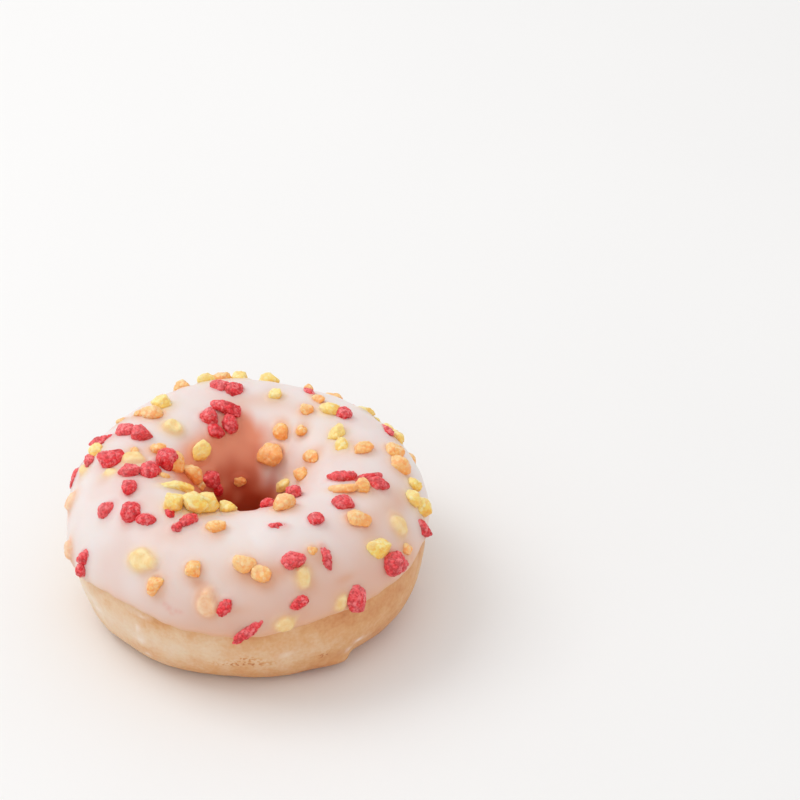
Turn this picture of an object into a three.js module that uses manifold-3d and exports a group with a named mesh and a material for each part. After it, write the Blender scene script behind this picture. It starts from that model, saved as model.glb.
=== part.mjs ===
// A mini ring doughnut: a fried dough ring, icing over its upper half, and coloured sugar nibs strewn on
// the icing. Millimetres, +Z up. The origin is the middle of the hole, on the level that the doughnut
// stands on. Azimuth is in degrees round the ring, with 0 at the front, towards -Y, and 90 at the right,
// towards +X.
import * as THREE from "three";
import { mergeVertices } from "three/addons/utils/BufferGeometryUtils.js";
import Module from "manifold-3d";

const wasm = await Module();
wasm.setup();

const DEGREE = Math.PI / 180;

// The dough's section: four quarter arcs round a crest, with a flat foot between the two lower ones.
const OUTER_RADIUS = 32.5;
const WIDEST_LEVEL = 14.0;
const THROAT_RADIUS = 6.9;
const THROAT_LEVEL = 12.0;
const CREST_RADIUS = 19.5;
const DOUGH_HEIGHT = 27.9;
const FOOT_OUTER_RADIUS = 25.0;
const FOOT_INNER_RADIUS = 12.0;
const ROUNDNESS = 0.96; // under 1, a quarter arc is a little squarer than an ellipse's

// Slow waves that make the ring as uneven as dough is. Each is a size, in mm or in an edge's degrees, a
// count round the ring and the azimuth of a peak.
const WIDTH_WAVES = [[0.22, 2, 25], [0.16, 3, -50], [0.1, 5, 70]];
const HOLE_WAVES = [[0.35, 2, 100], [0.22, 3, 40]];
const HEIGHT_WAVES = [[0.35, 1, 165], [0.25, 2, 60], [0.12, 4, 10]];

// Heels where the dough's lower edge bulges: azimuth, bulge in mm, and the degrees it runs out to the left
// and right.
const HEELS = [[33, 1.5, 9, 3], [-62, 0.5, 12, 9], [104, 0.8, 8, 12], [171, 0.6, 14, 8], [-128, 0.7, 6, 11]];
const HEEL_ACROSS = -60;
const HEEL_SPREAD = 16;

// The icing: its thickness on the crest and at its edges, the gap under it, where its outer edge and its
// edge in the hole lie, by the angle across the section, and the waves of both edges and of the thickness.
const ICING_TOP = 1.15;
const ICING_EDGE = 0.55;
const ICING_FALL = 0.8; // under 1, the icing keeps its thickness longer on its way down to its edges
const ICING_GAP = 0.25;
const ICING_ROOT = 1.5; // how deep in the dough the icing's blank starts, before it is cut back
const ICING_OUTER_EDGE = 3.2;
const OUTER_EDGE_WAVES = [[4.1, 1, 83], [2.1, 2, 8], [2.8, 3, -44], [2.1, 4, -37], [2.8, 5, 21]];
const ICING_INNER_EDGE = 189;
const INNER_EDGE_WAVES = [[4, 2, 35], [2.5, 3, 10]];
const ICING_WAVES = [[0.09, 3, 20], [0.07, 5, -35]];

// The nibs: their number, how long a small one is beside a large one, how far lengths stray and the lengths
// of the strewn ones. A chunk is stout, a sliver narrow, and a sunk one lies deep in the icing: their
// breadths are shares of the length, and how far they are raised is a share of half their depth. Then the
// depth as a share of the breadth, how lumpy a nib is, and how far it tips and strays in degrees.
const NIB_COUNT = 142;
const SMALL_SHARE = 0.62;
const LENGTH_SPREAD = [1.0, 1.12];
const STREWN_LENGTH = [3.0, 4.4];
const CHUNK = { breadths: [0.68, 0.94], raises: [0.0, 0.5] };
const SLIVER = { breadths: [0.34, 0.5], raises: [0.0, 0.5] };
const SUNK = { breadths: [0.6, 0.8], raises: [-0.5, -0.25] };
const NIB_DEPTH = [0.74, 0.96];
const NIB_LUMP = [0.95, 1.15];
const NIB_TIP = 12;
const NIB_STRAY = 14;
const SEED = 20;

// Nibs that fell in a row or alone: the row's middle by azimuth and across, its heading (0 is along the
// ring and 90 is towards the hole), a letter for each nib, their length, and for some how much higher than
// usual they lie. R is red, O orange and Y yellow; a small letter is a small nib.
const LEFT_CHUNKS = [
  [-112, 80, 72, "RR", 3.8], [-138, 78, -60, "Y", 3.5], [-129, 76, -80, "Oo", 3.8, 0.3],
  [-126, 101, -79, "Y", 3.9, -0.7], [-125, 55, 70, "o", 2.8], [-104, 53, 48, "Y", 2.8],
  [-93, 71, 65, "R", 4.4], [-99, 50, 85, "r", 3.8], [-91, 86, 68, "Y", 4.6, -0.6],
  [-98, 87, 60, "o", 3.2], [-102, 102, -60, "O", 2.8], [-90, 109, 60, "R", 3.9, 0.2],
  [-96, 124, 95, "OO", 4.0], [-81, 84, 70, "R", 3.8], [-78, 98, 110, "R", 3.8], [-75, 108, -75, "o", 3.4],
  [-69, 80, -50, "R", 3.6], [-66, 58, -64, "r", 5.2], [-56, 69, -58, "R", 4.3], [-48, 72, 37, "R", 3.3],
  [-89, 27, 90, "O", 4.2, -0.7], [-75, 8, -85, "O", 3.6, -0.6], [-172, 83, -28, "RR", 3.2],
  [-172, 57, 0, "YOY", 3.4], [128, 83, 20, "RY", 3.4], [141, 96, 60, "o", 3.6], [-64, 14, 85, "RR", 3.0],
  [163, 90, 40, "y", 4.0],
];
const HOLE_CHUNKS = [
  [-153, 108, -25, "R", 3.7], [-152, 119, -79, "R", 3.7], [-167, 117, 77, "R", 3.8, 0.2],
  [-127, 127, 18, "Y", 4.2, 0.3], [-122, 151, -75, "rR", 3.8], [-44, 92, -40, "Y", 3.8, 0.4],
  [-33, 99, 60, "Y", 4.9, 0.4], [-29, 104, 60, "Y", 5.0, 0.6], [-16, 113, 0, "y", 5.0, 0.1],
  [-96, 143, -40, "o", 3.0], [-42, 86, -28, "r", 4.2], [-32, 82, 65, "rR", 3.7], [-17, 86, 13, "O", 3.3],
  [148, 118, -30, "O", 3.4], [132, 113, -47, "o", 3.6], [148, 136, 44, "O", 4.9, 0.2],
  [101, 120, 20, "O", 3.0], [-168, 156, 0, "o", 3.2], [41, 115, 45, "R", 2.9, 0.4],
  [111, 151, 57, "Y", 3.2, 0.4], [23, 103, -20, "O", 4.0], [17, 116, -20, "r", 4.4, 0.2],
];
const RIGHT_CHUNKS = [
  [70, 70, -80, "R", 3.2], [64, 78, 25, "O", 2.8], [50, 80, -50, "R", 3.7], [32, 79, -18, "R", 2.8],
  [48, 65, -34, "O", 3.8], [110, 96, 150, "Y", 3.4], [98, 97, 0, "y", 4.2], [93, 84, -75, "O", 3.0],
  [111, 45, 0, "Y", 3.0], [92, 58, 194, "OO", 4.0], [83, 43, 84, "y", 4.2], [77, 35, -64, "YY", 3.9],
  [48, 39, -30, "Y", 4.1], [51, 24, 64, "R", 4.8, 0.2], [59, 24, -31, "o", 4.6], [56, 17, -24, "r", 3.6],
  [90, 133, 20, "O", 3.2],
];
const FRONT_CHUNKS = [
  [24, 58, 0, "o", 3.0], [16, 54, 12, "R", 3.9, 0.2], [1, 52, -35, "OO", 3.5], [-20, 50, 24, "O", 2.8],
  [-8, 27, 60, "R", 2.8], [-32, 33, 68, "O", 3.5], [15, 25, 25, "R", 3.0], [34, 14, -88, "R", 4.5],
];
const CHUNKS = [...LEFT_CHUNKS, ...HOLE_CHUNKS, ...RIGHT_CHUNKS, ...FRONT_CHUNKS];
const SLIVERS = [
  [-168, 105, -31, "R", 5.3, 0.4], [-62, 112, 75, "Y", 6.2, 0.3], [-111, 55, 80, "R", 5.2],
  [-102, 28, -35, "R", 4.8], [58, 88, 108, "O", 4.4, 0.3], [69, 86, -68, "RR", 4.7, 0.2],
  [-1, 8, 35, "R", 5.8], [28, 51, 80, "R", 4.3], [14, 84, -12, "R", 3.0], [146, 76, -30, "OR", 3.5],
  [113, 52, 4, "R", 3.9], [73, 19, -70, "R", 4.5, 0.2],
];
const SUNKEN = [
  [-40, 45, 9, "Y", 5.5], [-14, 28, -83, "O", 4.9], [10, 12, 9, "Y", 4.2], [29, 16, 70, "Y", 3.6],
  [18, 43, 77, "Y", 4.0], [61, 41, 80, "Y", 4.2], [-85, 70, 60, "y", 4.0], [-97, 44, 40, "y", 4.4],
];
const ROW_PITCH = 0.8; // of the row's mean length

// The other nibs are strewn over the rest of the icing, between these angles round and across, each clear
// of the others by this much, and some with a twin beside them.
const STREWN_AROUND = [112, 215];
const STREWN_ACROSS = [8, 42];
const STREWN_CLEAR = 4;
const RED_SHARE = 0.4;
const ORANGE_SHARE = 0.32;
const LARGE_SHARE = 0.6;
const SLIVER_SHARE = 0.2;
const TWIN_SHARE = 0.35;
const MOST_TRIES = 6000;

// Meshes: steps round the ring, steps across the dough's section and the icing's outer face, and a nib's
// faces.
const STEPS_ROUND = 54;
const STEPS_ACROSS_DOUGH = 20;
const STEPS_ACROSS_ICING = 11;
const NIB_SIDES = 5;
const NIB_TIERS = { large: 4, small: 3 };
const LARGE_FROM = 2.8; // mm of length

const COLOURS = { dough: 0xd9ab78, icing: 0xeedcd5 };

// A source of even draws from 0 to 1 that gives the same ones for the same seed.
function draws(seed) {
  let state = seed >>> 0;
  return () => {
    state = (Math.imul(state, 1664525) + 1013904223) >>> 0;
    return state / 2 ** 32;
  };
}

const between = ([low, high], share) => low + (high - low) * share;

function wave(azimuth, waves) {
  const at = (count, from) => Math.cos(count * (azimuth - from) * DEGREE);
  return waves.reduce((sum, [size, count, from]) => sum + size * at(count, from), 0);
}

// A point of the even section, as radius and height. Across is in degrees round it: -90 is the foot's outer
// edge, 0 the widest level, 90 the crest, 180 the throat of the hole and 270 the foot's inner edge.
function section(across) {
  const outside = across <= 90;
  const above = across >= 0 && across <= 180;
  const waist = outside ? OUTER_RADIUS : THROAT_RADIUS;
  const level = outside ? WIDEST_LEVEL : THROAT_LEVEL;
  const foot = outside ? FOOT_OUTER_RADIUS : FOOT_INNER_RADIUS;
  const middle = above ? CREST_RADIUS : foot;
  const reach = above ? DOUGH_HEIGHT - level : -level;
  const levelShare = Math.abs(Math.cos(across * DEGREE)) ** ROUNDNESS;
  const uprightShare = Math.abs(Math.sin(across * DEGREE)) ** ROUNDNESS;
  return [middle + (waist - middle) * levelShare, level + reach * uprightShare];
}

// The section's outward normal, as its radial and upward parts.
function sectionNormal(across) {
  const [r0, z0] = section(across - 1);
  const [r1, z1] = section(across + 1);
  const length = Math.hypot(r1 - r0, z1 - z0);
  return [(z1 - z0) / length, (r0 - r1) / length];
}

// The shortest way from one azimuth to another, from -180 to 180.
function azimuthFrom(from, to) {
  return ((((to - from + 180) % 360) + 360) % 360) - 180;
}

function heel(azimuth, across) {
  const height = Math.exp(-(((across - HEEL_ACROSS) / HEEL_SPREAD) ** 2));
  return HEELS.reduce((sum, [at, bulge, left, right]) => {
    const away = azimuthFrom(at, azimuth);
    return sum + bulge * height * Math.exp(-((away / (away < 0 ? left : right)) ** 2));
  }, 0);
}

// A point of the dough's surface, or one lifted off it along the section's normal.
function ringPoint(azimuth, across, lift = 0) {
  const [evenRadius, evenHeight] = section(across);
  const [outwards, upwards] = sectionNormal(across);
  const outerShare = (evenRadius - THROAT_RADIUS) / (OUTER_RADIUS - THROAT_RADIUS);
  const spread = outerShare * wave(azimuth, WIDTH_WAVES) + (1 - outerShare) * wave(azimuth, HOLE_WAVES);
  const radius = evenRadius + spread + heel(azimuth, across) + lift * outwards;
  const height = evenHeight * (1 + wave(azimuth, HEIGHT_WAVES) / DOUGH_HEIGHT) + lift * upwards;
  const turn = azimuth * DEGREE;
  return new THREE.Vector3(radius * Math.sin(turn), -radius * Math.cos(turn), height);
}

const icingOuterEdge = (azimuth) => ICING_OUTER_EDGE + wave(azimuth, OUTER_EDGE_WAVES);
const icingInnerEdge = (azimuth) => ICING_INNER_EDGE + wave(azimuth, INNER_EDGE_WAVES);

// How far the icing's outer face stands off the dough.
function icingLift(azimuth, across) {
  const fullness = Math.sin(Math.min(Math.max(across, 0), 180) * DEGREE) ** ICING_FALL;
  const wavy = fullness * wave(azimuth + across, ICING_WAVES);
  return ICING_GAP + ICING_EDGE + (ICING_TOP - ICING_EDGE) * fullness + wavy;
}

// A closed ring: a loop of points round the section, given by azimuth, is carried round the ring.
function ringGeometry(loopAt) {
  const positions = [];
  const indices = [];
  let size = 0;
  for (let step = 0; step < STEPS_ROUND; step++) {
    const loop = loopAt((360 * step) / STEPS_ROUND);
    size = loop.length;
    loop.forEach((point) => positions.push(...point));
  }
  for (let step = 0; step < STEPS_ROUND; step++) {
    for (let k = 0; k < size; k++) {
      const here = step * size;
      const next = ((step + 1) % STEPS_ROUND) * size;
      const after = (k + 1) % size;
      indices.push(here + k, next + k, next + after, here + k, next + after, here + after);
    }
  }
  return new THREE.BufferGeometry()
    .setAttribute("position", new THREE.BufferAttribute(new Float32Array(positions), 3))
    .setIndex(indices);
}

function doughGeometry(lift = 0) {
  return ringGeometry((azimuth) => {
    const loop = [];
    for (let k = 0; k <= STEPS_ACROSS_DOUGH; k++) {
      loop.push(ringPoint(azimuth, -90 + (360 * k) / STEPS_ACROSS_DOUGH, lift));
    }
    return loop;
  });
}

// The icing's outer face, closed by a face inside the dough, which is cut away afterwards.
function icingBlankGeometry() {
  return ringGeometry((azimuth) => {
    const outer = icingOuterEdge(azimuth);
    const inner = icingInnerEdge(azimuth);
    const acrossAt = (k) => outer + ((inner - outer) * k) / STEPS_ACROSS_ICING;
    const loop = [];
    for (let k = 0; k <= STEPS_ACROSS_ICING; k++) {
      loop.push(ringPoint(azimuth, acrossAt(k), icingLift(azimuth, acrossAt(k))));
    }
    for (let k = STEPS_ACROSS_ICING; k >= 0; k--) {
      loop.push(ringPoint(azimuth, acrossAt(k), -ICING_ROOT));
    }
    return loop;
  });
}

// Where a nib lies: the icing's surface there, and the directions along the ring, across it and outwards.
function nibPlace(azimuth, across) {
  const [outwards, upwards] = sectionNormal(across);
  const radial = new THREE.Vector3(Math.sin(azimuth * DEGREE), -Math.cos(azimuth * DEGREE), 0);
  const along = new THREE.Vector3(Math.cos(azimuth * DEGREE), Math.sin(azimuth * DEGREE), 0);
  const normal = radial.clone().multiplyScalar(outwards).setZ(upwards);
  const over = radial.clone().multiplyScalar(-upwards).setZ(outwards);
  return { point: ringPoint(azimuth, across, icingLift(azimuth, across)), along, over, normal };
}

// The place a given distance from another over the icing. Heading 0 is along the ring and 90 towards the
// hole.
function walk(azimuth, across, heading, distance) {
  const [r0, z0] = section(across - 1);
  const [r1, z1] = section(across + 1);
  const mmPerAcross = Math.hypot(r1 - r0, z1 - z0) / 2;
  const mmPerAzimuth = section(across)[0] * DEGREE;
  return [
    azimuth + (distance * Math.cos(heading * DEGREE)) / mmPerAzimuth,
    across + (distance * Math.sin(heading * DEGREE)) / mmPerAcross,
  ];
}

// A nib's sizes and how it lies, by six draws.
function makeNib(letter, length, heading, manner, raised, draw) {
  const breadth = length * between(manner.breadths, draw());
  return {
    colour: letter.toUpperCase(),
    length,
    breadth,
    depth: breadth * between(NIB_DEPTH, draw()),
    raise: between(manner.raises, draw()) + raised,
    turn: heading + NIB_STRAY * (2 * draw() - 1),
    tip: NIB_TIP * (2 * draw() - 1),
    seed: Math.floor(draw() * 2 ** 31),
  };
}

// The length of a nib of this letter, near the given length.
function lengthOf(letter, length, draw) {
  return length * (letter === letter.toUpperCase() ? 1 : SMALL_SHARE) * between(LENGTH_SPREAD, draw());
}

function layRows(nibs, rows, manner, draw) {
  for (const [azimuth, across, heading, letters, length, raised = 0] of rows) {
    const lengths = [...letters].map((letter) => lengthOf(letter, length, draw));
    const pitch = (ROW_PITCH * lengths.reduce((sum, each) => sum + each, 0)) / lengths.length;
    [...letters].forEach((letter, k) => {
      const place = nibPlace(...walk(azimuth, across, heading, (k - (letters.length - 1) / 2) * pitch));
      nibs.push({ ...place, ...makeNib(letter, lengths[k], heading, manner, raised, draw) });
    });
  }
}

function strewNibs(nibs, draw) {
  for (let tries = 0; nibs.length < NIB_COUNT && tries < MOST_TRIES; tries++) {
    const azimuth = between(STREWN_AROUND, draw());
    const across = between(STREWN_ACROSS, draw());
    const kept = draw() < section(across)[0] / OUTER_RADIUS;
    const place = nibPlace(azimuth, across);
    if (!kept || nibs.some((nib) => nib.point.distanceTo(place.point) < STREWN_CLEAR)) continue;
    const pick = draw();
    const colour = pick < RED_SHARE ? "R" : pick < RED_SHARE + ORANGE_SHARE ? "O" : "Y";
    const letter = draw() < LARGE_SHARE ? colour : colour.toLowerCase();
    const manner = draw() < SLIVER_SHARE ? SLIVER : CHUNK;
    const heading = 360 * draw();
    const usual = between(STREWN_LENGTH, draw());
    const length = lengthOf(letter, usual, draw);
    nibs.push({ ...place, ...makeNib(letter, length, heading, manner, 0, draw) });
    if (draw() < TWIN_SHARE) {
      const twinLength = lengthOf(letter, usual, draw);
      const beside = walk(azimuth, across, heading, (ROW_PITCH * (length + twinLength)) / 2);
      nibs.push({ ...nibPlace(...beside), ...makeNib(letter, twinLength, heading, manner, 0, draw) });
    }
  }
}

function layNibs() {
  const draw = draws(SEED);
  const nibs = [];
  layRows(nibs, CHUNKS, CHUNK, draw);
  layRows(nibs, SLIVERS, SLIVER, draw);
  layRows(nibs, SUNKEN, SUNK, draw);
  strewNibs(nibs, draw);
  return nibs;
}

// A nib as a lumpy pebble of twenty or thirty faces, lying in the icing.
function nibGeometry(nib) {
  const tiers = nib.length > LARGE_FROM ? NIB_TIERS.large : NIB_TIERS.small;
  const ball = new THREE.SphereGeometry(1, NIB_SIDES, tiers).deleteAttribute("normal").deleteAttribute("uv");
  const pebble = mergeVertices(ball);
  const corners = pebble.getAttribute("position");
  const lump = draws(nib.seed);
  for (let k = 0; k < corners.count; k++) {
    const out = between(NIB_LUMP, lump());
    corners.setXYZ(k, corners.getX(k) * out, corners.getY(k) * out, corners.getZ(k) * out);
  }
  const turned = nib.along.clone().multiplyScalar(Math.cos(nib.turn * DEGREE));
  const long = turned.addScaledVector(nib.over, Math.sin(nib.turn * DEGREE));
  const broad = long.clone().cross(nib.normal);
  long.applyAxisAngle(broad, nib.tip * DEGREE);
  const high = broad.clone().cross(long);
  const middle = nib.point.clone().addScaledVector(nib.normal, (nib.raise * nib.depth) / 2);
  const frame = new THREE.Matrix4().makeBasis(long, high, broad).setPosition(middle);
  return pebble.scale(nib.length / 2, nib.depth / 2, nib.breadth / 2).applyMatrix4(frame);
}

function toSolid(geometry) {
  return new wasm.Manifold(
    new wasm.Mesh({
      numProp: 3,
      vertProperties: geometry.getAttribute("position").array,
      triVerts: new Uint32Array(geometry.index.array),
    }),
  );
}

function toGeometry(solid) {
  const mesh = solid.getMesh();
  const geometry = new THREE.BufferGeometry()
    .setAttribute("position", new THREE.BufferAttribute(mesh.vertProperties, 3))
    .setIndex(new THREE.BufferAttribute(mesh.triVerts, 1));
  geometry.computeVertexNormals();
  return geometry;
}

// The icing with its nibs fused on, cut back to clear the dough. Joining can leave scraps or seal a hollow
// between nibs, so only the body itself is kept.
function icedTop() {
  const nibs = layNibs().map((nib) => toSolid(nibGeometry(nib)));
  const joined = nibs.reduce((sum, nib) => sum.add(nib), toSolid(icingBlankGeometry()));
  const bodies = joined.subtract(toSolid(doughGeometry(ICING_GAP))).decompose();
  return toGeometry(bodies.reduce((best, body) => (body.volume() > best.volume() ? body : best)));
}

function namedMesh(name, geometry, colour, roughness) {
  const material = new THREE.MeshStandardMaterial({ color: colour, roughness, metalness: 0 });
  const mesh = new THREE.Mesh(geometry, material);
  mesh.name = name;
  return mesh;
}

const dough = doughGeometry();
dough.computeVertexNormals();

const doughnut = new THREE.Group();
doughnut.name = "doughnut";
doughnut.add(namedMesh("dough", dough, COLOURS.dough, 0.6));
doughnut.add(namedMesh("icing", icedTop(), COLOURS.icing, 0.35));

export default doughnut;
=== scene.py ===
# %% [markdown]
# # An iced mini ring doughnut, from dough to sugar nibs
#
# A ring of dough rises, floats in hot oil, is turned once, and comes out golden on both faces with a paler
# belt between them. Its upper half is dipped in thin sugar icing, and coarse sugar nibs are strewn on before
# it sets. We build in the same order: dough, icing, nibs. The measured solid model comes first, because
# every piece has to lie where that model says.

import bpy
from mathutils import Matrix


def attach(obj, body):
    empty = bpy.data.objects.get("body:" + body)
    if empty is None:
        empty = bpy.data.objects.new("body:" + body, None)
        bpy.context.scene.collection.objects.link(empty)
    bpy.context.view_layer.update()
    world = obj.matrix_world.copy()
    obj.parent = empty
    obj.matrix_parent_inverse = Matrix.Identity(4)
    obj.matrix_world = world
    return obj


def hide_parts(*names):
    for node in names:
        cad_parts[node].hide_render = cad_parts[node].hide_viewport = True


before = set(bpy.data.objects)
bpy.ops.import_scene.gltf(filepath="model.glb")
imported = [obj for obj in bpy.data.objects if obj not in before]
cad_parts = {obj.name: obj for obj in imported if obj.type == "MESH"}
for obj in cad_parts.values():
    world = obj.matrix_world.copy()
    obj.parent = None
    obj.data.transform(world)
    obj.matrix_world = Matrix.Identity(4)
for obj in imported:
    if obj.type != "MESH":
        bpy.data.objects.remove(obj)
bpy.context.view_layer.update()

# %% [markdown]
# ## Working in millimetres
#
# Blender's unit here is the metre, but a nib is 3 mm long, so we think in millimetres and change to metres
# only when a mesh is made. We also work with arrays, all points in one call, because a Python loop over a
# hundred thousand points is slow.

# %% Tools for numbers and meshes
import math

import bpy
import numpy as np
from mathutils import Vector

MM = 0.001


def mesh_piece(name, points, faces):
    """A smooth-shaded mesh object from points in millimetres."""
    mesh = bpy.data.meshes.new(name)
    mesh.from_pydata((np.asarray(points) * MM).tolist(), [], np.asarray(faces).tolist())
    mesh.shade_smooth()
    piece = bpy.data.objects.new(name, mesh)
    bpy.context.scene.collection.objects.link(piece)
    print(f"{name}: {len(mesh.vertices)} points, {len(mesh.polygons)} faces")
    return piece


def keep_on_points(piece, name, values):
    """Stores one number for each point of the mesh, for a material to read."""
    store = piece.data.attributes.new(name, "FLOAT", "POINT")
    store.data.foreach_set("value", np.asarray(values, np.float32).ravel())


def closed_ring(name, rings):
    """A closed skin over rings[i, j], point j of the slice at step i round the doughnut."""
    steps, size = rings.shape[:2]
    here = np.arange(steps * size).reshape(steps, size)
    beyond = np.roll(here, -1, axis=0)
    faces = np.stack([here, beyond, np.roll(beyond, -1, axis=1), np.roll(here, -1, axis=1)], axis=-1)
    return mesh_piece(name, rings.reshape(-1, 3), faces.reshape(-1, 4))


# %% [markdown]
# ## Nothing baked is even
#
# Dough swells more on one side, icing runs, oil browns in patches. Blender's noise textures could colour
# with such slow waves, but we also want to move points with them, so we add up a few plane waves that cross
# in random directions. Their sum has lumps of about one size, and a seed makes it the same at every run.

# %% Slow random lumps
WAVES_CROSSING = 26
WAVE_LENGTHS = (0.75, 1.4)  # of the size asked for
USUAL_PEAK = 1.6


def lumps(points, size, seed):
    """A smooth random field, mostly from -1 to 1, with lumps of about this size."""
    rng = np.random.default_rng(seed)
    ways = rng.normal(size=(WAVES_CROSSING, 3))
    ways /= np.linalg.norm(ways, axis=1)[:, None]
    ways *= (np.pi / (size * rng.uniform(*WAVE_LENGTHS, WAVES_CROSSING)))[:, None]
    phases = rng.uniform(0, 2 * np.pi, WAVES_CROSSING)
    flat = np.asarray(points, np.float32).reshape(-1, 3)
    total = np.cos(flat @ ways.T.astype(np.float32) + phases.astype(np.float32)).sum(axis=1)
    return (total / math.sqrt(WAVES_CROSSING / 2) / USUAL_PEAK).reshape(np.shape(points)[:-1])


def mixed_lumps(points, parts, seed):
    """Lumps of several heights and sizes together."""
    return sum(height * lumps(points, size, seed + k) for k, (height, size) in enumerate(parts))


def bell(values, width):
    """1 at 0, and less on both sides, almost nothing at twice the width."""
    return np.exp(-((values / width) ** 2))


def step_up(values, start, end):
    """0 before start, 1 after end, and a smooth rise between them."""
    share = np.clip((values - start) / (end - start), 0, 1)
    return share * share * (3 - 2 * share)


# %% [markdown]
# ## The shape of the ring
#
# Cut a ring doughnut and you see a rounded section with a flat foot. Four quarter arcs draw it from eight
# sizes, which are easier to match to a picture than an outline is. Two angles place a point: its azimuth
# round the ring, 0 at the front, and its angle across the section, 0 at the widest level, 90 on the crest,
# 180 in the hole's throat, and -90 and 270 at the foot's two edges.

# %% The even section
OUTER_RADIUS = 32.5
WIDEST_LEVEL = 14.0
THROAT_RADIUS = 6.9
THROAT_LEVEL = 12.0
CREST_RADIUS = 19.5
DOUGH_HEIGHT = 27.9
FOOT_OUTER_RADIUS = 25.0
FOOT_INNER_RADIUS = 12.0
ROUNDNESS = 0.96  # under 1 is squarer than an ellipse


def section(across):
    """Radius and height of the even section at an angle across it."""
    across = np.asarray(across, float)
    outside = across <= 90
    above = (across >= 0) & (across <= 180)
    waist = np.where(outside, OUTER_RADIUS, THROAT_RADIUS)
    level = np.where(outside, WIDEST_LEVEL, THROAT_LEVEL)
    middle = np.where(above, CREST_RADIUS, np.where(outside, FOOT_OUTER_RADIUS, FOOT_INNER_RADIUS))
    reach = np.where(above, DOUGH_HEIGHT - level, -level)
    level_share = np.abs(np.cos(np.radians(across))) ** ROUNDNESS
    upright_share = np.abs(np.sin(np.radians(across))) ** ROUNDNESS
    return middle + (waist - middle) * level_share, level + reach * upright_share


def two_degrees(across):
    """How far the section goes outwards and upwards over two degrees across."""
    (r0, z0), (r1, z1) = section(np.asarray(across) - 1), section(np.asarray(across) + 1)
    return r1 - r0, z1 - z0


def section_normal(across):
    """The section's outward direction, as its radial and upward parts."""
    out, up = two_degrees(across)
    return up / np.hypot(out, up), -out / np.hypot(out, up)


print("the crest is at", np.round(section(90), 2))

# %% [markdown]
# The ring isn't a true circle. Waves make it wider here and narrower there, the hole oval and the crest
# higher at the back, and a few heels bulge where the dough's lower edge spread in the oil. One could sculpt
# them, but named sizes can be corrected one at a time.

# %% The uneven ring
# A wave: its height, its count round the ring, a peak's azimuth. A heel: azimuth, bulge, reach left, right.
WIDTH_WAVES = [[0.22, 2, 25], [0.16, 3, -50], [0.1, 5, 70]]
HOLE_WAVES = [[0.35, 2, 100], [0.22, 3, 40]]
HEIGHT_WAVES = [[0.35, 1, 165], [0.25, 2, 60], [0.12, 4, 10]]
HEELS = [[33, 1.5, 9, 3], [-62, 0.5, 12, 9], [104, 0.8, 8, 12], [171, 0.6, 14, 8], [-128, 0.7, 6, 11]]
HEEL_ACROSS, HEEL_SPREAD = -60, 16


def degrees_from(azimuth, start):
    """The short way round the ring from start, from -180 to 180."""
    return (azimuth - start + 180) % 360 - 180


def wave(azimuth, waves):
    """The height of all these waves together."""
    return sum(size * np.cos(np.radians(count * (azimuth - start))) for size, count, start in waves)


def heel(azimuth, across):
    """How far the heels push the dough outwards."""
    total = 0
    for at, bulge, left, right in HEELS:
        away = degrees_from(azimuth, at)
        total = total + bulge * bell(away, np.where(away < 0, left, right))
    return total * bell(across - HEEL_ACROSS, HEEL_SPREAD)


def turned(azimuth, out, up):
    """What goes this far out and this far up, turned to its azimuth."""
    turn = np.radians(azimuth)
    return np.stack(np.broadcast_arrays(out * np.sin(turn), -out * np.cos(turn), up), axis=-1)


def ring_points(azimuth, radius, height, across=0.0, lift=0.0, outwards=0.0, upwards=0.0):
    """Points of the uneven ring, lifted off the even section's surface along its normal."""
    share = (radius - THROAT_RADIUS) / (OUTER_RADIUS - THROAT_RADIUS)
    spread = share * wave(azimuth, WIDTH_WAVES) + (1 - share) * wave(azimuth, HOLE_WAVES)
    out = radius + spread + heel(azimuth, across) + lift * outwards
    up = height * (1 + wave(azimuth, HEIGHT_WAVES) / DOUGH_HEIGHT) + lift * upwards
    return turned(azimuth, out, up)


def surface(azimuth, across, lift=0.0):
    """Points of the dough's surface at these angles, or lifted off it."""
    return ring_points(azimuth, *section(across), across, lift, *section_normal(across))


def flow(azimuth, across):
    """The outward direction of the surface at these angles, in space."""
    return turned(azimuth, *section_normal(across))


print("ring, wide and deep:", np.ptp(surface(np.arange(360), 0), axis=0)[:2].round(1))

# %% [markdown]
# ## The dough
#
# Fried dough is nearly smooth, with soft swellings a centimetre across and fine puckers. A torus is a quick
# ring, but its section is a circle, so we sweep our own slice round and push its points out and in by lumps
# of both sizes. The flat foot has points too, because it shows when the doughnut is picked up.

# %% The dough's mesh
DOUGH_STEPS = 360
SLICE_ANGLES = np.arange(-90, 270.1, 2.0)
FOOT_STEPS = 22
SWELLINGS, PUCKERS = (0.16, 8.0), (0.035, 1.9)  # height and size


def dough_relief(points):
    """How far the dough's surface swells or dips, in millimetres."""
    return mixed_lumps(points, (SWELLINGS, PUCKERS), 3)


azimuths = np.arange(0, 360, 360 / DOUGH_STEPS)[:, None]
crust = surface(azimuths, SLICE_ANGLES[None, :])
crust += dough_relief(crust)[..., None] * flow(azimuths, SLICE_ANGLES[None, :])
foot_radii = np.linspace(FOOT_INNER_RADIUS, FOOT_OUTER_RADIUS, FOOT_STEPS + 2)[1:-1]
foot = ring_points(azimuths, foot_radii[None, :], 0.0)
foot[..., 2] -= dough_relief(foot)
dough_rings = np.concatenate([crust, foot], axis=1)
dough_rings[..., 2] = np.maximum(dough_rings[..., 2], 0)
dough = closed_ring("fried_dough", dough_rings)
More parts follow.
